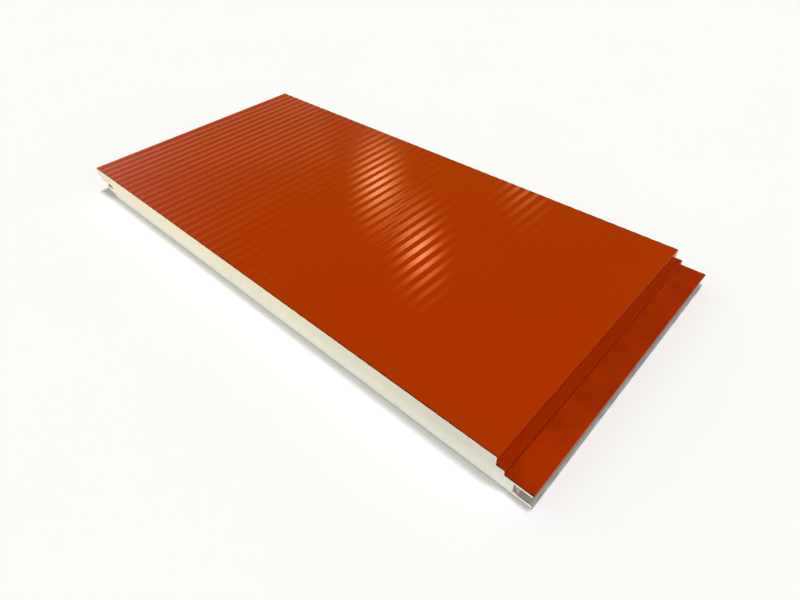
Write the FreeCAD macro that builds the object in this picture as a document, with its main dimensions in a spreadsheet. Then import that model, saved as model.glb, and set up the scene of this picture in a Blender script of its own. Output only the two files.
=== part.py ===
# Insulated sandwich panel, a short sample cut square from a long wall panel.
# Two thin steel sheets are bonded to a foam core. X runs across the cover width, Y along the
# rolled length and Z up through the thickness, with the visible ribbed face on top.
# Stations across the width are measured from the tip of the covering lip.
import FreeCAD
import Part
import Sketcher
import os

doc = FreeCAD.newDocument("SandwichPanel")

# Driving sizes in millimetres.
SIZES = {
    "cover_width": 1000.0,      # width one panel adds to a wall
    "thickness": 50.0,          # underside to rib crests
    "cut_length": 490.0,        # between the two saw cuts
    "outer_sheet": 0.5,         # ribbed sheet
    "inner_sheet": 0.4,         # flat sheet
    "bend": 1.0,                # radius on the inside of every square bend
    "joint_gap": 2.0,           # gap left between neighbours' faces
    "fit_clear": 1.0,           # play between mating joint surfaces
    "rib_pitch": 20.0,
    "rib_depth": 0.45,
    "rib_slope": 9.5,           # width of one flank
    "rib_crest": 0.5,           # flat on top of a rib
    "edge_band": 8.0,           # flat band along the covering lip
    "far_band": 10.0,           # least flat band along the stepped edge
    "step_drop": 16.0,          # face down to the shelf
    "shelf_width": 12.0,
    "ledge_drop": 8.0,          # shelf down to the screw ledge
    "ledge_width": 38.5,
    "nose_height": 5.0,         # ledge top to the roof of the slot
    "slot_height": 14.5,
    "slot_depth": 25.5,         # nose edge to the foam at the back of the slot
    "lower_reach": 1.5,         # how far the lower lip passes the nose
    "floor_width": 20.0,        # metal floor of the slot
    "leg_lean": 6.5,            # how far the leaning leg goes back as it rises
}

sheet = doc.addObject("Spreadsheet::Sheet", "Sizes")
for row, (alias, value) in enumerate(SIZES.items(), start=1):
    sheet.set(f"A{row}", alias)
    sheet.set(f"B{row}", str(value))
    sheet.setAlias(f"B{row}", alias)
doc.recompute()


def size(name):
    return f"Sizes.{name}"


# Heights, from the top down.
TOP = size("thickness")
VALLEY = f"({TOP} - {size('rib_depth')})"
SHELF = f"({TOP} - {size('step_drop')})"
LEDGE = f"({SHELF} - {size('ledge_drop')})"
NOSE_UNDER = f"({LEDGE} - {size('nose_height')})"
SLOT_FLOOR = f"({NOSE_UNDER} - {size('slot_height')})"
LIP_UNDER = f"({SHELF} + {size('fit_clear')})"
RECESS_ROOF = f"({LEDGE} + {size('fit_clear')})"
TONGUE_TOP = f"({NOSE_UNDER} - {size('fit_clear')})"
TONGUE_UNDER = f"({SLOT_FLOOR} + {size('fit_clear')})"

# Stations of the stepped edge.
FACE_END = f"({size('cover_width')} - {size('joint_gap')})"
SHELF_END = f"({FACE_END} + {size('shelf_width')})"
NOSE_END = f"({SHELF_END} + {size('ledge_width')})"
SLOT_WALL = f"({NOSE_END} - {size('slot_depth')})"
LOWER_END = f"({NOSE_END} + {size('lower_reach')})"
LEG_FOOT = f"({LOWER_END} - {size('floor_width')})"
LEG_TOP = f"({LEG_FOOT} - {size('leg_lean')})"
LEAN = f"({size('leg_lean')} / ({TONGUE_TOP} - {SLOT_FLOOR}))"
LEAN_LENGTH = f"sqrt(1 + {LEAN} * {LEAN})"

# Stations of the covering lip and the tongue, one cover width back from the pieces they meet.
RISER = f"({size('shelf_width')} - {size('joint_gap')} + {size('fit_clear')})"
RECESS_END = f"({NOSE_END} - {size('cover_width')} + {size('joint_gap')})"
INNER_START = f"({LOWER_END} - {size('cover_width')} + {size('joint_gap')})"
TIP_FOOT = f"({LEG_FOOT} - {size('cover_width')} + {size('joint_gap')})"
TIP_TOP = f"({TIP_FOOT} - {LEAN} * ({TONGUE_TOP} - {TONGUE_UNDER}))"

# Rib stations: a rib cell runs from the middle of one valley to the middle of the next.
HALF_VALLEY = f"(({size('rib_pitch')} - {size('rib_crest')}) / 2 - {size('rib_slope')})"
FIRST_FOOT = f"({size('edge_band')} + {size('rib_slope')})"
FIRST_CELL = f"({FIRST_FOOT} + {HALF_VALLEY})"
RIB_ROOM = f"({FACE_END} - {FIRST_CELL} - {HALF_VALLEY} - {size('rib_slope')} - {size('far_band')})"
RIB_COUNT = f"floor({RIB_ROOM} / {size('rib_pitch')})"
LAST_CELL = f"({FIRST_CELL} + {RIB_COUNT} * {size('rib_pitch')})"
LAST_FOOT = f"({LAST_CELL} + {HALF_VALLEY})"
LAST_CREST = f"({LAST_FOOT} + {size('rib_slope')})"

BEND = size("bend")
OUTER = size("outer_sheet")
INNER = size("inner_sheet")
OUTER_BEND = f"({BEND} + {OUTER})"
INNER_BEND = f"({BEND} + {INNER})"


def new_body(name):
    body = doc.addObject("PartDesign::Body", name)
    body.Label = name
    body.setExpression("Placement.Base.x", f"-{LOWER_END} / 2")
    return body


def origin_feature(body, role):
    return next(f for f in body.Origin.OriginFeatures if f.Role == role)


# Closed outline in the cross-section. A corner is (station, height) or, where two square edges
# meet in a bend, (station, height, radius).
def section(body, name, corners):
    sketch = body.newObject("Sketcher::SketchObject", name)
    sketch.AttachmentSupport = [(origin_feature(body, "XZ_Plane"), "")]
    sketch.MapMode = "FlatFace"
    at = [FreeCAD.Vector(sketch.evalExpression(c[0]), sketch.evalExpression(c[1]), 0) for c in corners]
    ends = []
    for i, corner in enumerate(corners):
        ends.append([(corner[0], corner[1], at[i])])
        if len(corner) == 3:
            radius = sketch.evalExpression(corner[2])
            ends[i] = []
            for other in (at[i - 1], at[(i + 1) % len(at)]):
                way = (other - at[i]).normalize()
                x = f"{corner[0]} + {round(way.x)} * {corner[2]}"
                z = f"{corner[1]} + {round(way.y)} * {corner[2]}"
                ends[i].append((x, z, at[i] + way * radius))
    rules = []
    ties = []
    for i in range(len(corners)):
        start = ends[i][-1]
        stop = ends[(i + 1) % len(corners)][0]
        sketch.addGeometry(Part.LineSegment(start[2], stop[2]))
        for pos, point in ((1, start), (2, stop)):
            if pos == 2 and len(ends[(i + 1) % len(corners)]) == 1:
                rules.append(Sketcher.Constraint("Coincident", i, 2, (i + 1) % len(corners), 1))
                continue
            station, height, spot = point
            for kind, value, formula in (("DistanceX", spot.x, station), ("DistanceY", spot.y, height)):
                ties.append((len(rules), formula))
                rules.append(Sketcher.Constraint(kind, -1, 1, i, pos, value))
    for i, corner in enumerate(corners):
        if len(corner) == 3:
            first, last = ends[i][0][2], ends[i][1][2]
            centre = first + last - at[i]
            radius = (first - at[i]).Length
            middle = centre + (at[i] - centre).normalize() * radius
            arc = sketch.addGeometry(Part.Arc(first, middle, last))
            start_pos = 1 if sketch.getPoint(arc, 1).distanceToPoint(first) < radius / 2 else 2
            rules.append(Sketcher.Constraint("Coincident", arc, start_pos, (i - 1) % len(corners), 2))
            rules.append(Sketcher.Constraint("Coincident", arc, 3 - start_pos, i, 1))
            ties.append((len(rules), corner[2]))
            rules.append(Sketcher.Constraint("Radius", arc, radius))
    sketch.addConstraint(rules)
    for index, formula in ties:
        sketch.setExpression(f"Constraints[{index}]", formula)
    return sketch


def extrude(body, name, corners):
    feature = body.newObject("PartDesign::Pad", name)
    feature.Profile = section(body, name + "Section", corners)
    feature.SideType = "Symmetric"
    feature.setExpression("Length", size("cut_length"))
    return feature


def repeat_ribs(body, feature):
    ribs = body.newObject("PartDesign::LinearPattern", feature.Name + "Row")
    ribs.Originals = [feature]
    ribs.Direction = (origin_feature(body, "X_Axis"), [""])
    ribs.Mode = "Spacing"
    ribs.setExpression("Offset", size("rib_pitch"))
    ribs.setExpression("Occurrences", RIB_COUNT)
    body.Tip = ribs


# Ribbed outer sheet: one rib cell repeated across the face, then the two formed edges.
outer = new_body("outer_facing")
cell_line = [
    ("0", VALLEY),
    (HALF_VALLEY, VALLEY),
    (f"({HALF_VALLEY} + {size('rib_slope')})", TOP),
    (f"({HALF_VALLEY} + {size('rib_slope')} + {size('rib_crest')})", TOP),
    (f"({size('rib_pitch')} - {HALF_VALLEY})", VALLEY),
    (size("rib_pitch"), VALLEY),
]
cell = [(f"{FIRST_CELL} + {x}", z) for x, z in cell_line]
cell += [(f"{FIRST_CELL} + {x}", f"{z} - {OUTER}") for x, z in reversed(cell_line)]
repeat_ribs(outer, extrude(outer, "OuterRib", cell))

extrude(outer, "CoveringLip", [
    (FIRST_CELL, VALLEY),
    (FIRST_FOOT, VALLEY),
    (size("edge_band"), TOP),
    ("0", TOP, OUTER_BEND),
    ("0", LIP_UNDER, OUTER_BEND),
    (RISER, LIP_UNDER, BEND),
    (RISER, RECESS_ROOF, OUTER_BEND),
    (RECESS_END, RECESS_ROOF),
    (RECESS_END, f"{RECESS_ROOF} + {OUTER}"),
    (f"{RISER} + {OUTER}", f"{RECESS_ROOF} + {OUTER}", BEND),
    (f"{RISER} + {OUTER}", f"{LIP_UNDER} + {OUTER}", OUTER_BEND),
    (OUTER, f"{LIP_UNDER} + {OUTER}", BEND),
    (OUTER, f"{TOP} - {OUTER}", BEND),
    (size("edge_band"), f"{TOP} - {OUTER}"),
    (FIRST_FOOT, f"{VALLEY} - {OUTER}"),
    (FIRST_CELL, f"{VALLEY} - {OUTER}"),
])

extrude(outer, "SteppedEdge", [
    (LAST_CELL, VALLEY),
    (LAST_FOOT, VALLEY),
    (LAST_CREST, TOP),
    (FACE_END, TOP, OUTER_BEND),
    (FACE_END, SHELF, BEND),
    (SHELF_END, SHELF, OUTER_BEND),
    (SHELF_END, LEDGE, BEND),
    (NOSE_END, LEDGE, OUTER_BEND),
    (NOSE_END, NOSE_UNDER, OUTER_BEND),
    (SLOT_WALL, NOSE_UNDER),
    (SLOT_WALL, f"{NOSE_UNDER} + {OUTER}"),
    (f"{NOSE_END} - {OUTER}", f"{NOSE_UNDER} + {OUTER}", BEND),
    (f"{NOSE_END} - {OUTER}", f"{LEDGE} - {OUTER}", BEND),
    (f"{SHELF_END} - {OUTER}", f"{LEDGE} - {OUTER}", OUTER_BEND),
    (f"{SHELF_END} - {OUTER}", f"{SHELF} - {OUTER}", BEND),
    (f"{FACE_END} - {OUTER}", f"{SHELF} - {OUTER}", OUTER_BEND),
    (f"{FACE_END} - {OUTER}", f"{TOP} - {OUTER}", BEND),
    (LAST_CREST, f"{TOP} - {OUTER}"),
    (LAST_FOOT, f"{VALLEY} - {OUTER}"),
    (LAST_CELL, f"{VALLEY} - {OUTER}"),
])

# Foam core: fills everything between the sheets, with a rib of foam under every rib of sheet.
foam = new_body("foam_core")
TIP_TOP_FOAM = f"({TIP_TOP} + {INNER} * ({LEAN_LENGTH} + {LEAN}))"
TIP_FOOT_FOAM = f"({TIP_FOOT} + {INNER} * ({LEAN_LENGTH} - {LEAN}))"
extrude(foam, "Block", [
    (OUTER, f"{TOP} - {OUTER}", BEND),
    (OUTER, f"{LIP_UNDER} + {OUTER}", BEND),
    (f"{RISER} + {OUTER}", f"{LIP_UNDER} + {OUTER}", OUTER_BEND),
    (f"{RISER} + {OUTER}", f"{RECESS_ROOF} + {OUTER}", BEND),
    (RECESS_END, f"{RECESS_ROOF} + {OUTER}"),
    (RECESS_END, f"{TONGUE_TOP} - {INNER}"),
    (TIP_TOP_FOAM, f"{TONGUE_TOP} - {INNER}"),
    (TIP_FOOT_FOAM, f"{TONGUE_UNDER} + {INNER}"),
    (f"{INNER_START} + {INNER}", f"{TONGUE_UNDER} + {INNER}", INNER_BEND),
    (f"{INNER_START} + {INNER}", INNER, BEND),
    (f"{LOWER_END} - {INNER}", INNER, BEND),
    (f"{LOWER_END} - {INNER}", f"{SLOT_FLOOR} - {INNER}", BEND),
    (SLOT_WALL, f"{SLOT_FLOOR} - {INNER}"),
    (SLOT_WALL, f"{NOSE_UNDER} + {OUTER}"),
    (f"{NOSE_END} - {OUTER}", f"{NOSE_UNDER} + {OUTER}", BEND),
    (f"{NOSE_END} - {OUTER}", f"{LEDGE} - {OUTER}", BEND),
    (f"{SHELF_END} - {OUTER}", f"{LEDGE} - {OUTER}", OUTER_BEND),
    (f"{SHELF_END} - {OUTER}", f"{SHELF} - {OUTER}", BEND),
    (f"{FACE_END} - {OUTER}", f"{SHELF} - {OUTER}", OUTER_BEND),
    (f"{FACE_END} - {OUTER}", f"{TOP} - {OUTER}", BEND),
    (LAST_CREST, f"{TOP} - {OUTER}"),
    (LAST_FOOT, f"{VALLEY} - {OUTER}"),
    (FIRST_FOOT, f"{VALLEY} - {OUTER}"),
    (size("edge_band"), f"{TOP} - {OUTER}"),
])
foam_rib = [(f"{FIRST_CELL} + {x}", f"{z} - {OUTER}") for x, z in cell_line[1:-1]]
repeat_ribs(foam, extrude(foam, "FoamRib", foam_rib))

# Flat inner sheet: wraps the tongue at one edge, lines the lower lip and the slot at the other.
inner = new_body("inner_facing")
extrude(inner, "Tray", [
    (INNER_START, "0", INNER_BEND),
    (INNER_START, TONGUE_UNDER, BEND),
    (TIP_FOOT, TONGUE_UNDER),
    (TIP_TOP, TONGUE_TOP),
    (RECESS_END, TONGUE_TOP),
    (RECESS_END, f"{TONGUE_TOP} - {INNER}"),
    (TIP_TOP_FOAM, f"{TONGUE_TOP} - {INNER}"),
    (TIP_FOOT_FOAM, f"{TONGUE_UNDER} + {INNER}"),
    (f"{INNER_START} + {INNER}", f"{TONGUE_UNDER} + {INNER}", INNER_BEND),
    (f"{INNER_START} + {INNER}", INNER, BEND),
    (f"{LOWER_END} - {INNER}", INNER, BEND),
    (f"{LOWER_END} - {INNER}", f"{SLOT_FLOOR} - {INNER}", BEND),
    (f"{LEG_FOOT} - {INNER} * ({LEAN_LENGTH} - {LEAN})", f"{SLOT_FLOOR} - {INNER}"),
    (f"{LEG_TOP} - {INNER} * {LEAN_LENGTH}", TONGUE_TOP),
    (LEG_TOP, TONGUE_TOP),
    (LEG_FOOT, SLOT_FLOOR),
    (LOWER_END, SLOT_FLOOR, INNER_BEND),
    (LOWER_END, "0", INNER_BEND),
])

doc.recompute()
for item in doc.Objects:
    if "Invalid" in item.State or "Error" in item.State:
        raise RuntimeError(f"{item.Name} did not build: {item.State}")

os.makedirs("parts", exist_ok=True)
for body in (outer, foam, inner):
    if body.Shape.isNull() or not body.Shape.isValid():
        raise RuntimeError(f"{body.Label} is not a sound solid")
    body.Shape.exportStep(f"parts/{body.Label}.step")
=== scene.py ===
# Insulated sandwich panel: finished surfaces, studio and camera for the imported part.
# Metres throughout: X across the panel, Y along it, Z up from the floor.
import bpy
import numpy as np
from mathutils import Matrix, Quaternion, Vector
from mathutils.geometry import delaunay_2d_cdt


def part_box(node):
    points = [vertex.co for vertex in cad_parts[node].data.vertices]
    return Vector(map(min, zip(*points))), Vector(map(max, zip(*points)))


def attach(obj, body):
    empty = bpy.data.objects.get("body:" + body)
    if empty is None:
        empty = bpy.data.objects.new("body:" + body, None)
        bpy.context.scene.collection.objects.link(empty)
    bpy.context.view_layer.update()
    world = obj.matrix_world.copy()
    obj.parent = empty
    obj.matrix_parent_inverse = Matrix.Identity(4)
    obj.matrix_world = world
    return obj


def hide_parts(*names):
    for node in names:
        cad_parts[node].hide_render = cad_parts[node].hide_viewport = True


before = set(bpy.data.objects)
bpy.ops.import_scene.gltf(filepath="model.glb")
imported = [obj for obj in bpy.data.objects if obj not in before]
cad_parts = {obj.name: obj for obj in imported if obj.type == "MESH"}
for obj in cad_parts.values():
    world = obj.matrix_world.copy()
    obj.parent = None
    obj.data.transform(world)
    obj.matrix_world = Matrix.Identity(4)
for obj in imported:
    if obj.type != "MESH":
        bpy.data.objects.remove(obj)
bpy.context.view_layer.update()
outerLow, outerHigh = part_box("outer_facing")
innerLow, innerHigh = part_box("inner_facing")
print("frame loaded")

# the joint's section, shared by all three pieces
joint = {
    "stepDrop": 0.016,          # face to shelf
    "shelfWidth": 0.012,
    "ledgeDrop": 0.008,         # shelf to screw ledge
    "ledgeWidth": 0.0385,
    "slotDepth": 0.0255,
    "slotHeight": 0.0145,
    "floorWidth": 0.020,        # metal floor of the slot
    "legLean": 0.0065,
    "play": 0.001,
    "gap": 0.002,
    "bend": 0.001,              # radius on the inside of a bend
}

# stations and heights that the pieces share, from the frame's own boxes
lipTip = outerLow.x
noseEnd = outerHigh.x
crest = outerHigh.z
noseUnder = outerLow.z
lowerEnd = innerHigh.x
tongueTop = innerHigh.z
frontY, backY = outerLow.y, outerHigh.y
shelfEnd = noseEnd - joint["ledgeWidth"]
faceEnd = shelfEnd - joint["shelfWidth"]
coverWidth = faceEnd + joint["gap"] - lipTip
slotWall = noseEnd - joint["slotDepth"]
shelf = crest - joint["stepDrop"]
ledge = shelf - joint["ledgeDrop"]
slotFloor = noseUnder - joint["slotHeight"]
lipUnder = shelf + joint["play"]
recessRoof = ledge + joint["play"]
tongueUnder = slotFloor + joint["play"]
riser = shelfEnd - coverWidth + joint["play"]
recessEnd = noseEnd - coverWidth + joint["gap"]
innerStart = lowerEnd - coverWidth + joint["gap"]
legFoot = lowerEnd - joint["floorWidth"]
legTop = legFoot - joint["legLean"]
tipFoot = legFoot - coverWidth + joint["gap"]
tipTop = innerLow.x


def roundedLine(corners, steps=7):
    # each corner (x, z, r) becomes an arc of radius r touching both runs:
    # centre = corner + (a + b) / |a + b| * r / sin(half angle), a and b the ways along the runs
    points = np.array([c[:2] for c in corners], float)
    line = [points[:1]]
    for i in range(1, len(corners) - 1):
        radius = corners[i][2]
        if radius == 0:
            line.append(points[i:i + 1])
            continue
        a = points[i - 1] - points[i]
        b = points[i + 1] - points[i]
        a = a / np.linalg.norm(a)
        b = b / np.linalg.norm(b)
        half = np.arccos(np.clip(a @ b, -1, 1)) / 2
        centre = points[i] + (a + b) / np.linalg.norm(a + b) * radius / np.sin(half)
        start = points[i] + a * radius / np.tan(half) - centre
        stop = points[i] + b * radius / np.tan(half) - centre
        turn = np.linspace(0, 1, steps)[:, None]
        sweep = np.pi - 2 * half
        arc = (np.sin((1 - turn) * sweep) * start + np.sin(turn * sweep) * stop) / np.sin(sweep)
        line.append(centre + arc)
    line.append(points[-1:])
    return np.vstack(line)


def offsetLine(line, distance):
    # every point moves along its mitre, to the right of the way the line runs:
    # p + (n1 + n2) / (1 + n1.n2) * distance, n1 and n2 the normals of the runs that meet there
    run = np.diff(line, axis=0)
    run = run / np.linalg.norm(run, axis=1)[:, None]
    normal = np.stack([run[:, 1], -run[:, 0]], 1)
    before = np.vstack([normal[:1], normal])
    after = np.vstack([normal, normal[-1:]])
    share = 1 + np.sum(before * after, axis=1)[:, None]
    return line + (before + after) / share * distance


def ripple(points, waves, length, seed):
    # sum of sines over random ways in the plane: sin(k.p + phase) / sqrt(waves) for each wave,
    # with |k| near 2 pi / length
    rng = np.random.default_rng(seed)
    angle = rng.uniform(0, 2 * np.pi, waves)
    size = 2 * np.pi / length * rng.uniform(0.6, 1.6, waves)
    k = np.stack([np.cos(angle) * size, np.sin(angle) * size])
    phase = rng.uniform(0, 2 * np.pi, waves)
    return np.sin(points @ k + phase).sum(-1) / np.sqrt(waves)


def ringFaces(rows, count):
    # quads between neighbouring rows of a closed ring of count points
    k = np.arange(count)
    j = np.arange(rows - 1)[:, None] * count
    right = (k + 1) % count
    return np.stack([j + k, j + right, j + count + right, j + count + k], -1).reshape(-1, 4)


def makeMesh(name, vertices, faces, slots, materials, sharpAngle=0.6):
    mesh = bpy.data.meshes.new(name)
    mesh.from_pydata(vertices.tolist(), [], faces)
    for material in materials:
        mesh.materials.append(material)
    mesh.polygons.foreach_set("material_index", slots)
    mesh.polygons.foreach_set("use_smooth", np.ones(len(faces), bool))
    mesh.set_sharp_from_angle(angle=sharpAngle)
    mesh.update()
    piece = bpy.data.objects.new(name, mesh)
    bpy.context.scene.collection.objects.link(piece)
    return piece


def sweepSheet(name, line, inside, stations, lift, materials):
    # closed thin shell: the ring (outer line out, inner line back) carried along Y,
    # each point p(u, v) = (x(u), y(v), z(u) + lift(x, y)), with a strip of quads over each cut end
    ring = np.vstack([line, inside[::-1]])
    count = len(ring)
    half = len(line)
    x = np.broadcast_to(ring[:, 0], (len(stations), count))
    y = np.broadcast_to(stations[:, None], (len(stations), count))
    z = ring[:, 1] + lift(x, y)
    vertices = np.stack([x, y, z], -1).reshape(-1, 3)
    sides = ringFaces(len(stations), count)
    k = np.arange(half - 1)
    front = np.stack([k, count - 1 - k, count - 2 - k, k + 1], -1)
    back = front[:, ::-1] + (len(stations) - 1) * count
    faces = np.vstack([sides, front, back])
    # material 0 outside, 1 inside, 2 on every cut edge
    place = np.tile(np.arange(count), len(stations) - 1)
    slots = np.where(place < half - 1, 0, np.where((place >= half) & (place < count - 1), 1, 2))
    slots = np.concatenate([slots, np.full(2 * (half - 1), 2)])
    return makeMesh(name, vertices, faces.tolist(), slots.astype(np.int32), materials)


def newMaterial(name):
    material = bpy.data.materials.new(name)
    material.use_nodes = True
    nodes = material.node_tree.nodes
    nodes.clear()
    output = nodes.new("ShaderNodeOutputMaterial")
    shader = nodes.new("ShaderNodeBsdfPrincipled")
    material.node_tree.links.new(shader.outputs[0], output.inputs[0])
    return material, shader


def plug(tree, socket, value):
    # a socket is linked, anything else is written
    if isinstance(value, bpy.types.NodeSocket):
        tree.links.new(value, socket)
    else:
        socket.default_value = value


def addNode(owner, kind, inputs=(), **settings):
    # owner is a material or the world
    node = owner.node_tree.nodes.new(kind)
    for key, value in settings.items():
        setattr(node, key, value)
    for key, value in dict(inputs).items():
        plug(owner.node_tree, node.inputs[key], value)
    return node


def objectPoint(material, scale=(1, 1, 1), turn=(0, 0, 0)):
    # object coordinates in metres, stretched and turned
    where = addNode(material, "ShaderNodeTexCoord")
    return addNode(material, "ShaderNodeMapping",
                   {"Vector": where.outputs["Object"], "Scale": scale, "Rotation": turn}).outputs[0]


def noise(material, where, scale, detail=3.0, roughness=0.55):
    return addNode(material, "ShaderNodeTexNoise",
                   {"Vector": where, "Scale": scale, "Detail": detail, "Roughness": roughness}).outputs[0]


def remap(owner, value, old, new=(0.0, 1.0), interpolation="LINEAR"):
    inputs = {"Value": value, "From Min": old[0], "From Max": old[1], "To Min": new[0], "To Max": new[1]}
    return addNode(owner, "ShaderNodeMapRange", inputs, interpolation_type=interpolation).outputs[0]


def calculate(owner, operation, first, second=0.0):
    return addNode(owner, "ShaderNodeMath", {0: first, 1: second}, operation=operation).outputs[0]


def blendColor(owner, share, first, second, mode="MIX"):
    # the colour mix node's sockets: 0 share, 6 first colour, 7 second colour, 2 result
    return addNode(owner, "ShaderNodeMix", {0: share, 6: first, 7: second},
                   data_type="RGBA", blend_type=mode).outputs[2]


def bump(material, height, distance, strength=1.0, normal=None):
    inputs = {"Height": height, "Distance": distance, "Strength": strength}
    if normal is not None:
        inputs["Normal"] = normal
    return addNode(material, "ShaderNodeBump", inputs).outputs[0]


def finishShader(material, shader, inputs):
    for key, value in inputs.items():
        plug(material.node_tree, shader.inputs[key], value)


outerSheet = {
    "thickness": 0.0005,
    "ribPitch": 0.020,
    "ribDepth": 0.00045,
    "firstCell": 0.01775,       # lip tip to the middle of the first valley
    "ribs": 48,
    "straightness": 0.998,      # 0 gives a sine, 1 straight flanks with sharp crests
    "pointsPerRib": 20,
    "crowding": 0.66,           # how far the points draw together at crests and valleys
    "stations": 17,
    "sag": 0.00004,             # depth of the slow unevenness for each unit of its waves
    "sagLength": 0.30,
    "sagWaves": 9,
    "sagBias": 1.2,             # taken off the waves, so that little of them is left above zero
    "sagSeed": 5,
    "sagFade": 0.05,            # distance over which the unevenness grows from the rim
    "flatRim": 0.02,            # no unevenness this near the formed edges
    "color": (0.462, 0.0365, 0.0003, 1),
    "darkColor": (0.444, 0.0342, 0.0002, 1),
    "speckColor": (0.50, 0.05, 0.002, 1),
    "chipColor": (0.060, 0.012, 0.005, 1),
    "chipReach": (0.00060, 0.00240),   # least and most width of the chipped paint along a saw cut
    # the next two colours are painted shade: evenly on the shelf, and on the ledge under patches of random
    # tone
    "shelfShadeColor": (0.350, 0.0245, 0.0002, 1),
    "ledgeShadeColor": (0.348, 0.0250, 0.0002, 1),
    "shadeFade": 0.0020,         # distance over which the painted shade sets in past an edge
    "formedGloss": 0.08,        # specular level past the face, 0.5 on it
    "metallic": 0.12,
    "tint": (1.0, 0.55, 0.2, 1),
    "roughness": 0.060,
    "roughSpread": 0.007,
    "peel": 0.000004,
    "primer": (0.42, 0.42, 0.39, 1),
    "palePrimer": (0.55, 0.55, 0.52, 1),
    "rustColor": (0.030, 0.013, 0.009, 1),
    "burrColor": (0.095, 0.050, 0.040, 1),
    "steelColor": (0.300, 0.280, 0.260, 1),
}


def ribDrop(x):
    # how far the face lies under the rib crests: depth * (1 + w) / 2 between the two edge bands,
    # w = asin(m * cos t) / asin(m), t one turn for each pitch and m the straightness of the flanks
    straight = outerSheet["straightness"]
    turn = 2 * np.pi * (x - lipTip - outerSheet["firstCell"]) / outerSheet["ribPitch"]
    wave = np.arcsin(straight * np.cos(turn)) / np.arcsin(straight)
    ribbed = (turn > -np.pi) & (turn < np.pi * (2 * outerSheet["ribs"] + 1))
    return np.where(ribbed, outerSheet["ribDepth"] * (1 + wave) / 2, 0)


def ribStations(perRib):
    # stations along the ribs, drawn together at crests and valleys:
    # u - crowding * sin(4 pi u) / (4 pi) pitches from the first crest, u in even steps
    first = lipTip + outerSheet["firstCell"] - outerSheet["ribPitch"] / 2
    count = outerSheet["ribs"] + 1
    u = np.linspace(0, count, count * perRib + 1)
    pull = outerSheet["crowding"] * np.sin(4 * np.pi * u) / (4 * np.pi)
    return first + outerSheet["ribPitch"] * (u - pull)


def sawChips(material, along, reach):
    # 1 where the saw chipped the paint: a band along both cut ends whose width wanders between two sizes
    inset = calculate(material, "SUBTRACT", backY, calculate(material, "ABSOLUTE", along))
    ragged = noise(material, objectPoint(material, (1, 0.15, 1)), scale=240.0, detail=4.0, roughness=0.7)
    width = remap(material, ragged, (0.40, 0.68), reach)
    softness = 0.0002
    return remap(material, calculate(material, "SUBTRACT", width, inset), (0.0, softness))


def paintMaterial():
    # coil paint: slow clouds, fine specks, smudges, a trace of orange peel and roller streaks, painted shade
    # on the shelf and ledge, and a broken dark line where the saw chipped it at both cut ends
    material, shader = newMaterial("outerPaint")
    point = objectPoint(material)
    tone = remap(material, noise(material, point, scale=7.0, detail=4.0), (0.3, 0.7))
    color = blendColor(material, tone, outerSheet["darkColor"], outerSheet["color"])
    speck = remap(material, noise(material, point, scale=900.0, detail=2.0), (0.62, 0.75), (0.0, 0.1))
    color = blendColor(material, speck, color, outerSheet["speckColor"])
    # past the face the paint is darker, as painted shade: evenly on the shelf, in patches along the ledge
    place = addNode(material, "ShaderNodeSeparateXYZ", {0: point}).outputs
    fade = outerSheet["shadeFade"]
    past = remap(material, place[0], (faceEnd, faceEnd + fade))
    color = blendColor(material, past, color, outerSheet["shelfShadeColor"])
    # on the ledge the painted shade is broken by patches of random tone
    patchy = remap(material, noise(material, point, scale=15.0, detail=4.0), (0.40, 0.62), (0.0, 0.95))
    ledgeShadeInPatches = blendColor(material, patchy, outerSheet["ledgeShadeColor"], outerSheet["darkColor"])
    low = remap(material, place[0], (shelfEnd, shelfEnd + fade))
    color = blendColor(material, low, color, ledgeShadeInPatches)
    chips = sawChips(material, place[1], outerSheet["chipReach"])
    color = blendColor(material, chips, color, outerSheet["chipColor"])
    rough = outerSheet["roughness"]
    spread = outerSheet["roughSpread"]
    smudge = remap(material, noise(material, point, scale=16.0, detail=5.0), (0.35, 0.7),
                   (rough - spread, rough + spread))
    streaks = noise(material, objectPoint(material, (60, 1.5, 60)), scale=4.0)
    peel = bump(material, noise(material, point, scale=420.0, detail=2.0), outerSheet["peel"])
    peel = bump(material, streaks, outerSheet["peel"] * 2, 0.6, peel)
    level = remap(material, place[0], (faceEnd - fade, faceEnd), (0.5, outerSheet["formedGloss"]))
    finishShader(material, shader, {"Base Color": color, "Metallic": outerSheet["metallic"],
                                    "Roughness": smudge, "Specular Tint": outerSheet["tint"],
                                    "Specular IOR Level": level, "Normal": peel})
    return material


def primerMaterial():
    # dull back coat, seen only where a sheet turns away from the foam
    material, shader = newMaterial("backPrimer")
    point = objectPoint(material)
    color = blendColor(material, noise(material, point, scale=60.0, detail=4.0),
                       outerSheet["primer"], outerSheet["palePrimer"])
    rough = remap(material, noise(material, point, scale=300.0), (0.3, 0.7), (0.45, 0.65))
    grit = bump(material, noise(material, point, scale=700.0), 0.00002)
    finishShader(material, shader, {"Base Color": color, "Roughness": rough, "Normal": grit})
    return material


def cutSteelMaterial():
    # sawn edge of a sheet: rusty brown, with bare steel grey in patches along it
    material, shader = newMaterial("cutSteel")
    point = objectPoint(material, (1, 1, 6))
    grain = noise(material, point, scale=900.0)
    patch = noise(material, objectPoint(material), scale=75.0, detail=4.0)
    color = blendColor(material, grain, outerSheet["rustColor"], outerSheet["burrColor"])
    bare = remap(material, patch, (0.52, 0.66), (0.0, 0.8))
    color = blendColor(material, bare, color, outerSheet["steelColor"])
    rough = remap(material, grain, (0.3, 0.7), (0.35, 0.6))
    finishShader(material, shader, {"Base Color": color, "Metallic": 0.5, "Roughness": rough,
                                    "Normal": bump(material, grain, 0.00005)})
    return material


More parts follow.
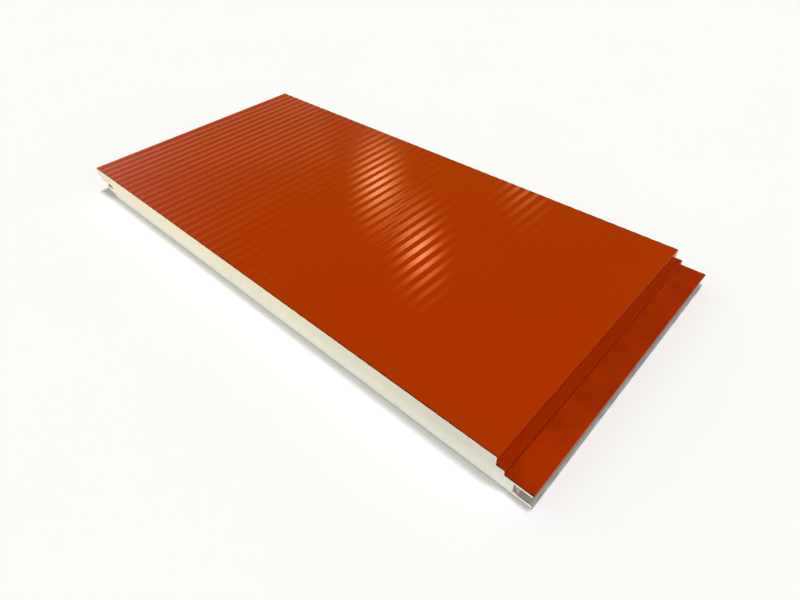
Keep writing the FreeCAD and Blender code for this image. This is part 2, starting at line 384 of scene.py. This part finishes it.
def makeOuterFacing():
    thick = outerSheet["thickness"]
    tight = joint["bend"]
    wide = tight + thick
    ribs = ribStations(outerSheet["pointsPerRib"])
    face = np.stack([ribs, crest - ribDrop(ribs)], 1)
    lip = roundedLine([(recessEnd, recessRoof, 0), (riser, recessRoof, wide), (riser, lipUnder, tight),
                       (lipTip, lipUnder, wide), (lipTip, crest, wide), (face[0, 0], crest, 0)])
    steps = roundedLine([(face[-1, 0], crest, 0), (faceEnd, crest, wide), (faceEnd, shelf, tight),
                         (shelfEnd, shelf, wide), (shelfEnd, ledge, tight), (noseEnd, ledge, wide),
                         (noseEnd, noseUnder, wide), (slotWall, noseUnder, 0)])
    line = np.vstack([lip[:-1], face, steps[1:]])
    stations = np.linspace(frontY, backY, outerSheet["stations"])

    def lift(x, y):
        # slow unevenness of the broad face, fading to nothing at its formed edges, and never upwards
        rim = outerSheet["flatRim"]
        inset = np.minimum(x - lipTip - rim, faceEnd - rim - x)
        waves = ripple(np.stack([x, y], -1), outerSheet["sagWaves"], outerSheet["sagLength"],
                       outerSheet["sagSeed"])
        share = np.clip(inset / outerSheet["sagFade"], 0, 1)
        return outerSheet["sag"] * share * np.minimum(waves - outerSheet["sagBias"], 0)

    piece = sweepSheet("outer_facing_formed", line, offsetLine(line, thick), stations, lift,
                       [paintMaterial(), primerMaterial(), cutSteelMaterial()])
    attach(piece, "root")
    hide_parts("outer_facing")
    print("outer facing:", len(piece.data.polygons), "faces")


foamBlock = {
    "grid": 0.00115,            # spacing of the points over a cut face
    "rowSpacing": 0.87,         # of the staggered rows, as a share of the grid
    "clearance": 0.25,          # least distance from the outline, as a share of the grid
    "setBack": 0.00015,         # saw cut's mean depth behind the sheets' ends, without the pits
    "relief": 0.00012,
    "slowWave": 0.06,           # lengths of the two ripples in the relief
    "fineWave": 0.007,
    "leastDepth": 0.00002,
    "seeds": (11, 23),          # front and back cut
    "pits": 420,
    "pitRadius": (0.0007, 0.0021),
    "pitDepth": 0.0007,
    "skin": 0.0016,             # dense foam this near the outline
    "color": (0.725, 0.715, 0.585, 1),
    "paleColor": (0.755, 0.750, 0.645, 1),
    # paler and warmer towards the lip end: painted light, with a warmer tone
    "paintedLightWarmColor": (0.99, 0.92, 0.66, 1),
    "paintedLightReach": (-0.18, 0.44),  # across the panel, from the full painted light and warmth to none
    # paler towards the bottom: painted light against the shade near the floor
    "paintedLightLowColor": (0.985, 0.99, 0.88, 1),
    "paintedLightLowReach": 0.034,          # height at which that colour is gone
    "paintedLightLowShare": 0.95,
    "skinColor": (0.99, 0.91, 0.78, 1),
    "skinShare": 0.6,
    "cellColor": (0.74, 0.70, 0.50, 1),
    "poreColor": (0.55, 0.50, 0.33, 1),
    "poreShare": 0.6,
    "poreScale": 200.0,         # cells in a metre, each with at most one pore
    "poreSize": 0.22,           # radius of the largest pore, as a share of its cell
}


def cutDepth(points, seed):
    # depth of the saw cut behind the sheets' ends: set-back + slow and fine ripples + round pits,
    # each pit a paraboloid 1 - (d / r)^2
    rng = np.random.default_rng(seed)
    slow = ripple(points, 12, foamBlock["slowWave"], seed)
    fine = ripple(points, 16, foamBlock["fineWave"], seed + 1)
    depth = foamBlock["setBack"] + foamBlock["relief"] * (0.5 * slow + 0.35 * fine)
    x = rng.uniform(lipTip, lowerEnd, foamBlock["pits"])
    z = rng.uniform(0, crest, foamBlock["pits"])
    radius = rng.uniform(*foamBlock["pitRadius"], foamBlock["pits"])
    away = (points[:, None, 0] - x) ** 2 + (points[:, None, 1] - z) ** 2
    pit = np.clip(1 - away / radius ** 2, 0, 1).max(axis=1)
    return np.maximum(depth + foamBlock["pitDepth"] * pit, foamBlock["leastDepth"])


def fillSection(ring):
    # triangles over the section: the outline's points and a staggered grid of points inside it,
    # none of them so near the outline that it would split a run
    step = foamBlock["grid"]
    x = np.arange(lipTip, lowerEnd, step)
    z = np.arange(0, crest, step * foamBlock["rowSpacing"])
    gx, gz = np.meshgrid(x, z)
    gx = gx + (np.arange(len(z)) % 2)[:, None] * step / 2
    inner = np.stack([gx.ravel(), gz.ravel()], 1)
    inner = inner[outlineDistance(inner, ring) > step * foamBlock["clearance"]]
    count = len(ring)
    edges = [(i, (i + 1) % count) for i in range(count)]
    cells = [Vector(p) for p in np.vstack([ring, inner]).tolist()]
    keepInside = 1
    epsilon = 1e-7
    points, _, triangles, *_ = delaunay_2d_cdt(cells, edges, [list(range(count))], keepInside, epsilon)
    # points that fell outside the outline are in no triangle, and are dropped
    used, triangles = np.unique(np.array(triangles), return_inverse=True)
    return np.array([p[:] for p in points])[used], triangles.reshape(-1, 3)


def outlineDistance(points, ring):
    # distance to the nearest run ab of the closed outline: |p - (a + s * ab)|,
    # s = (p - a).ab / |ab|^2 kept between 0 and 1
    nearest = np.full(len(points), np.inf)
    for a, b in zip(ring, np.roll(ring, -1, axis=0)):
        ab = b - a
        share = np.clip((points - a) @ ab / (ab @ ab), 0, 1)
        nearest = np.minimum(nearest, np.linalg.norm(points - a - share[:, None] * ab, axis=1))
    return nearest


def foamMaterial():
    # fine closed cells, clouds of tone, painted light that pales and warms the foam towards the lip and
    # pales it towards the bottom, sparse open pores, saw scratches, and a denser skin along the sheets
    material, shader = newMaterial("foam")
    point = objectPoint(material)
    place = addNode(material, "ShaderNodeSeparateXYZ", {0: point}).outputs
    cells = addNode(material, "ShaderNodeTexVoronoi", {"Vector": point, "Scale": 1500.0}).outputs[0]
    flow = noise(material, objectPoint(material, (1, 1, 2.2)), scale=55.0, detail=5.0, roughness=0.6)
    cloud = noise(material, point, scale=11.0)
    pale = remap(material, flow, (0.35, 0.65))
    color = blendColor(material, pale, foamBlock["color"], foamBlock["paleColor"])
    # painted light: paler and warmer towards the lip, plus clouds of warmer tone
    paintedLightAndWarmth = calculate(material, "ADD", remap(material, place[0], foamBlock["paintedLightReach"], (1.0, 0.0)),
                       remap(material, cloud, (0.40, 0.75), (0.0, 0.2)))
    color = blendColor(material, paintedLightAndWarmth, color, foamBlock["paintedLightWarmColor"])
    # painted light: paler towards the bottom, against the shade near the floor
    low = remap(material, place[2], (0.0, foamBlock["paintedLightLowReach"]), (foamBlock["paintedLightLowShare"], 0.0))
    color = blendColor(material, low, color, foamBlock["paintedLightLowColor"])
    skin = addNode(material, "ShaderNodeAttribute", attribute_name="skin").outputs["Fac"]
    dense = calculate(material, "MULTIPLY", skin, foamBlock["skinShare"])
    color = blendColor(material, dense, color, foamBlock["skinColor"])
    hollow = remap(material, cells, (0.0, 0.5), (0.22, 0.0))
    color = blendColor(material, hollow, color, foamBlock["cellColor"])
    bubbles = addNode(material, "ShaderNodeTexVoronoi", {"Vector": point, "Scale": foamBlock["poreScale"]})
    chance = addNode(material, "ShaderNodeSeparateColor", {0: bubbles.outputs["Color"]}).outputs[0]
    radius = remap(material, chance, (0.72, 1.0), (0.0, foamBlock["poreSize"]))
    pore = remap(material, calculate(material, "SUBTRACT", radius, bubbles.outputs["Distance"]), (0.0, 0.05))
    dark = calculate(material, "MULTIPLY", pore, foamBlock["poreShare"])
    color = blendColor(material, dark, color, foamBlock["poreColor"])
    scratches = noise(material, objectPoint(material, (30, 1, 1.4), (0, 0.35, 0)), scale=26.0)
    grain = bump(material, cells, 0.00012)
    grain = bump(material, scratches, 0.00010, 0.7, grain)
    grain = bump(material, noise(material, point, scale=260.0, detail=4.0), 0.0002, 0.8, grain)
    grain = bump(material, calculate(material, "SUBTRACT", 1.0, pore), 0.0004, 0.9, grain)
    finishShader(material, shader, {"Base Color": color, "Roughness": 0.93, "Specular IOR Level": 0.15,
                                    "Normal": grain})
    return material


def foamRing():
    thick = outerSheet["thickness"]
    thin = innerSheet["thickness"]
    tight = joint["bend"]
    wide = tight + thick
    lean = joint["legLean"] / (tongueTop - slotFloor)
    across = np.sqrt(1 + lean ** 2)
    ribs = ribStations(4)
    face = np.stack([ribs, crest - thick - ribDrop(ribs)], 1)
    rest = roundedLine([
        (face[0, 0], crest - thick, 0), (lipTip + thick, crest - thick, tight),
        (lipTip + thick, lipUnder + thick, tight), (riser + thick, lipUnder + thick, wide),
        (riser + thick, recessRoof + thick, tight), (recessEnd, recessRoof + thick, 0),
        (recessEnd, tongueTop - thin, 0), (tipTop + thin * (across + lean), tongueTop - thin, 0),
        (tipFoot + thin * (across - lean), tongueUnder + thin, 0),
        (innerStart + thin, tongueUnder + thin, tight + thin), (innerStart + thin, thin, tight),
        (lowerEnd - thin, thin, tight), (lowerEnd - thin, slotFloor - thin, tight),
        (slotWall, slotFloor - thin, 0), (slotWall, noseUnder + thick, 0),
        (noseEnd - thick, noseUnder + thick, tight), (noseEnd - thick, ledge - thick, tight),
        (shelfEnd - thick, ledge - thick, wide), (shelfEnd - thick, shelf - thick, tight),
        (faceEnd - thick, shelf - thick, wide), (faceEnd - thick, crest - thick, tight),
        (face[-1, 0], crest - thick, 0)], 5)
    return np.vstack([rest, face[-2:0:-1]])


def makeFoamCore():
    ring = foamRing()
    points, triangles = fillSection(ring)
    print("foam section:", len(triangles), "triangles, outline kept:",
          bool(np.allclose(points[:len(ring)], ring, atol=1e-6)))
    ends = []
    frontSeed, backSeed = foamBlock["seeds"]
    for outward, edge, seed in ((-1, frontY, frontSeed), (1, backY, backSeed)):
        y = edge - outward * cutDepth(points, seed)
        ends.append(np.stack([points[:, 0], y, points[:, 1]], 1))
    # the long walls join the same outline point at both cut faces
    total = len(points)
    k = np.arange(len(ring))
    right = (k + 1) % len(ring)
    walls = np.stack([right, k, k + total, right + total], -1)
    faces = triangles.tolist() + (triangles[:, ::-1] + total).tolist() + walls.tolist()
    slots = np.zeros(len(faces), np.int32)
    piece = makeMesh("foam_core_cut", np.vstack(ends), faces, slots, [foamMaterial()])
    skin = np.clip(1 - outlineDistance(points, ring) / foamBlock["skin"], 0, 1)
    piece.data.attributes.new("skin", "FLOAT", "POINT").data.foreach_set("value", np.tile(skin, 2))
    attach(piece, "root")
    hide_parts("foam_core")
    print("foam core:", len(faces), "faces")


innerSheet = {
    "thickness": 0.0004,
    "stations": 12,
    "foldRadius": 0.0006,       # along the leaning leg and the tip of the tongue
    "color": (0.740, 0.800, 0.700, 1),
    "dullColor": (0.630, 0.690, 0.600, 1),
    "paintedShadeColor": (0.150, 0.155, 0.130, 1),    # painted shade on the outer side of the lower lip
    "paintedShadeReach": (0.0022, 0.0003),            # from the lip's end, where the painted shade starts and is full
    "chipColor": (0.090, 0.090, 0.075, 1),
    "chipReach": (0.00030, 0.00130),
    "roughness": 0.38,
}


def innerPaintMaterial():
    # thinner grey-white coat: cloudy tone, smears along the panel, a trace of orange peel, and painted shade
    # towards the lower lip's end
    material, shader = newMaterial("innerPaint")
    point = objectPoint(material)
    tone = remap(material, noise(material, point, scale=9.0, detail=5.0), (0.35, 0.7))
    place = addNode(material, "ShaderNodeSeparateXYZ", {0: point}).outputs
    ragged = remap(material, noise(material, point, scale=45.0, detail=4.0), (0.35, 0.65), (0.6, 1.0))
    start, full = innerSheet["paintedShadeReach"]
    # painted shade towards the lip's end, broken by noise
    side = remap(material, place[0], (lowerEnd - start, lowerEnd - full))
    color = blendColor(material, tone, innerSheet["color"], innerSheet["dullColor"])
    paintedShadeShare = calculate(material, "MULTIPLY", side, ragged)
    color = blendColor(material, paintedShadeShare, color, innerSheet["paintedShadeColor"])
    chips = sawChips(material, place[1], innerSheet["chipReach"])
    color = blendColor(material, chips, color, innerSheet["chipColor"])
    rough = innerSheet["roughness"]
    smear = noise(material, objectPoint(material, (6, 1, 6)), scale=12.0, detail=5.0)
    peel = bump(material, noise(material, point, scale=420.0, detail=2.0), 0.00001)
    gloss = remap(material, smear, (0.3, 0.7), (rough - 0.08, rough + 0.1))
    finishShader(material, shader, {"Base Color": color, "Roughness": gloss, "Normal": peel})
    return material


def makeInnerFacing():
    thin = innerSheet["thickness"]
    fold = innerSheet["foldRadius"]
    tight = joint["bend"]
    wide = tight + thin
    line = roundedLine([
        (legTop, tongueTop, 0), (legFoot, slotFloor, fold), (lowerEnd, slotFloor, wide),
        (lowerEnd, 0, wide), (innerStart, 0, wide), (innerStart, tongueUnder, tight),
        (tipFoot, tongueUnder, fold), (tipTop, tongueTop, fold), (recessEnd, tongueTop, 0)])
    stations = np.linspace(frontY, backY, innerSheet["stations"])
    materials = [innerPaintMaterial(), bpy.data.materials["backPrimer"], bpy.data.materials["cutSteel"]]
    piece = sweepSheet("inner_facing_formed", line, offsetLine(line, thin), stations,
                       lambda x, y: np.zeros_like(x), materials)
    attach(piece, "root")
    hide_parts("inner_facing")
    print("inner facing:", len(piece.data.polygons), "faces")


makeOuterFacing()
makeFoamCore()
makeInnerFacing()

# floor, light and camera
studio = {
    "floorSize": 14.0,
    "floorColor": (0.985, 0.985, 0.985, 1),
    "floorCloud": (0.970, 0.970, 0.970, 1),
    "keyWay": (0.0, 0.22, 1.0),       # towards the light
    "keyStrength": 1.96,
    "keyAngle": 0.26,
}

# what stands round the panel: colours are radiances, ways are azimuths and tops are elevations,
# each pair the angles between which a brightness starts to fade and ends
surround = {
    "sky": (0.24, 0.24, 0.24, 1),
    "window": (0.84, 0.84, 0.85, 1),   # softer light added in front of the panel and at its sides
    "windowWay": 262.0,
    "windowReach": (90.0, 124.0),
    "windowTop": (26.0, 40.0),
    "dark": (0.14, 0.12, 0.01, 1),     # unlit side that the face mirrors
    "darkWay": 126.0,
    "darkReach": (22.0, 50.0),
    "darkTop": (60.0, 80.0),
    "haze": (0.17, 0.17, 0.0, 1),
    "hazeTop": (10.0, 50.0),
    "lowHaze": (0.0, 0.02, 0.23, 1),
    "lowHazeTop": (20.5, 30.0),
    "lowHazeTilt": -9.0,               # its top edge rises to the left
    "wall": (0.24, 0.22, 0.16, 1),     # lit wall under the haze
    "wallTop": (21.1, 22.7),
    "wallTilt": 9.0,
    "wallSide": (142.0, 144.5),        # azimuths between which that wall begins
    "tiltWay": 155.0,                  # azimuth about which the two tilted edges turn
    "backdrop": (1.0, 1.0, 1.0, 1),
    "backdropTop": (13.5, 16.5),
}

# lamps far behind the panel, whose reflections the ribs break into short stripes: azimuth, elevation,
# spread across and up in degrees, how square the edge is (1 gives a plain bell) and radiance
glows = {
    "lampCore": (134.2, 34.2, 0.80, 1.25, 1.0, (2.45, 3.8, 3.6, 1)),
    "lampRim": (134.2, 34.05, 1.86, 3.55, 1.6, (3.0, 2.28, 0.96, 1)),
    "sideLamp": (121.25, 27.6, 1.42, 2.07, 1.2, (1.40, 1.15, 0.52, 1)),
}

cameraSet = {
    "eye": (0.6174, -0.5346, 0.5787),
    "aim": (0.2008, -0.1094, 0.025),
    "lens": 24.0,
    "roll": -2.43,              # degrees about the view axis
}


def makeFloor():
    reach = studio["floorSize"] / 2
    material, shader = newMaterial("paleFloor")
    color = blendColor(material, noise(material, objectPoint(material), scale=3.0, detail=2.0),
                       studio["floorColor"], studio["floorCloud"])
    finishShader(material, shader, {"Base Color": color, "Roughness": 0.9, "Specular IOR Level": 0.0})
    corners = np.array([[-reach, -reach, 0], [reach, -reach, 0], [reach, reach, 0], [-reach, reach, 0]])
    floor = makeMesh("floor", corners, [[0, 1, 2, 3]], np.zeros(1, np.int32), [material])


def towards(azimuth, elevation):
    turn, rise = np.radians([azimuth, elevation])
    return Vector((np.cos(rise) * np.cos(turn), np.cos(rise) * np.sin(turn), np.sin(rise)))


def makeSurround():
    world = bpy.data.worlds.new("surround")
    bpy.context.scene.world = world
    world.use_nodes = True
    where = addNode(world, "ShaderNodeTexCoord").outputs["Generated"]

    def along(first, second):
        return addNode(world, "ShaderNodeVectorMath", {0: first, 1: second},
                       operation="DOT_PRODUCT").outputs["Value"]

    def fade(value, ends):
        # 1 up to the first end, falling smoothly to 0 at the second
        return remap(world, value, ends, (1.0, 0.0), "SMOOTHSTEP")

    def below(name, tilt=0.0):
        # 1 under the first of the named elevations, falling to 0 at the second: dot(d, n), with the
        # axis n of both circles of elevation leaning from upright by the tilt
        lean = np.radians(tilt)
        height = along(where, towards(surround["tiltWay"] + 90, 90 - tilt))
        return fade(height, np.sin(np.radians(surround[name])) * np.cos(lean))

    def beside(way, reach):
        # 1 within the first angle to either side of an azimuth, 0 past the second
        return fade(along(level, towards(way, 0)), np.cos(np.radians(reach)))

    def both(first, second):
        return calculate(world, "MULTIPLY", first, second)

    def bell(azimuth, elevation, across, up, squareness):
        # exp(-((u / across)^2 + (v / up)^2)^squareness / 2), u and v the angles from the middle
        u = along(where, towards(azimuth + 90, 0) / np.radians(across))
        v = along(where, towards(azimuth, elevation + 90) / np.radians(up))
        square = calculate(world, "ADD", both(u, u), both(v, v))
        power = calculate(world, "POWER", square, squareness)
        return calculate(world, "EXPONENT", both(power, -0.5))

    flat = addNode(world, "ShaderNodeVectorMath", {0: where, 1: (1, 1, 0)}, operation="MULTIPLY").outputs[0]
    level = addNode(world, "ShaderNodeVectorMath", {0: flat}, operation="NORMALIZE").outputs[0]
    window = both(beside(surround["windowWay"], surround["windowReach"]), below("windowTop"))
    color = blendColor(world, window, surround["sky"], surround["window"], "ADD")
    facing = beside(surround["darkWay"], surround["darkReach"])
    color = blendColor(world, both(facing, below("darkTop")), color, surround["dark"])
    color = blendColor(world, both(facing, below("hazeTop")), color, surround["haze"], "ADD")
    low = both(facing, below("lowHazeTop", surround["lowHazeTilt"]))
    color = blendColor(world, low, color, surround["lowHaze"], "ADD")
    start, stop = surround["wallSide"]
    edge = np.sin(np.radians((stop - start) / 2))
    past = fade(along(level, towards((start + stop) / 2 - 90, 0)), (-edge, edge))
    wall = both(below("wallTop", surround["wallTilt"]), past)
    color = blendColor(world, wall, color, surround["wall"], "ADD")
    for azimuth, elevation, across, up, squareness, radiance in glows.values():
        share = bell(azimuth, elevation, across, up, squareness)
        color = blendColor(world, share, color, radiance, "ADD")
    color = blendColor(world, below("backdropTop"), color, surround["backdrop"])
    plug(world.node_tree, world.node_tree.nodes["Background"].inputs["Color"], color)


def makeKey():
    light = bpy.data.lights.new("key", "SUN")
    light.energy = studio["keyStrength"]
    light.angle = studio["keyAngle"]
    lamp = bpy.data.objects.new("key", light)
    lamp.rotation_mode = "QUATERNION"
    lamp.rotation_quaternion = Vector(studio["keyWay"]).to_track_quat("Z", "Y")
    lamp.visible_glossy = False    # a soft light, with no glare of its own on the face from above
    bpy.context.scene.collection.objects.link(lamp)


def makeCamera():
    lens = bpy.data.cameras.new("camera")
    lens.lens = cameraSet["lens"]
    lens.sensor_width = 36.0
    view = bpy.data.objects.new("camera", lens)
    eye = Vector(cameraSet["eye"])
    aim = Vector(cameraSet["aim"])
    view.location = eye
    view.rotation_mode = "QUATERNION"
    roll = Quaternion((0, 0, 1), np.radians(cameraSet["roll"]))
    view.rotation_quaternion = (aim - eye).to_track_quat("-Z", "Y") @ roll
    bpy.context.scene.collection.objects.link(view)
    bpy.context.scene.camera = view


makeFloor()
makeSurround()
makeKey()
makeCamera()
bpy.context.scene.view_settings.view_transform = "Standard"
print("studio ready")
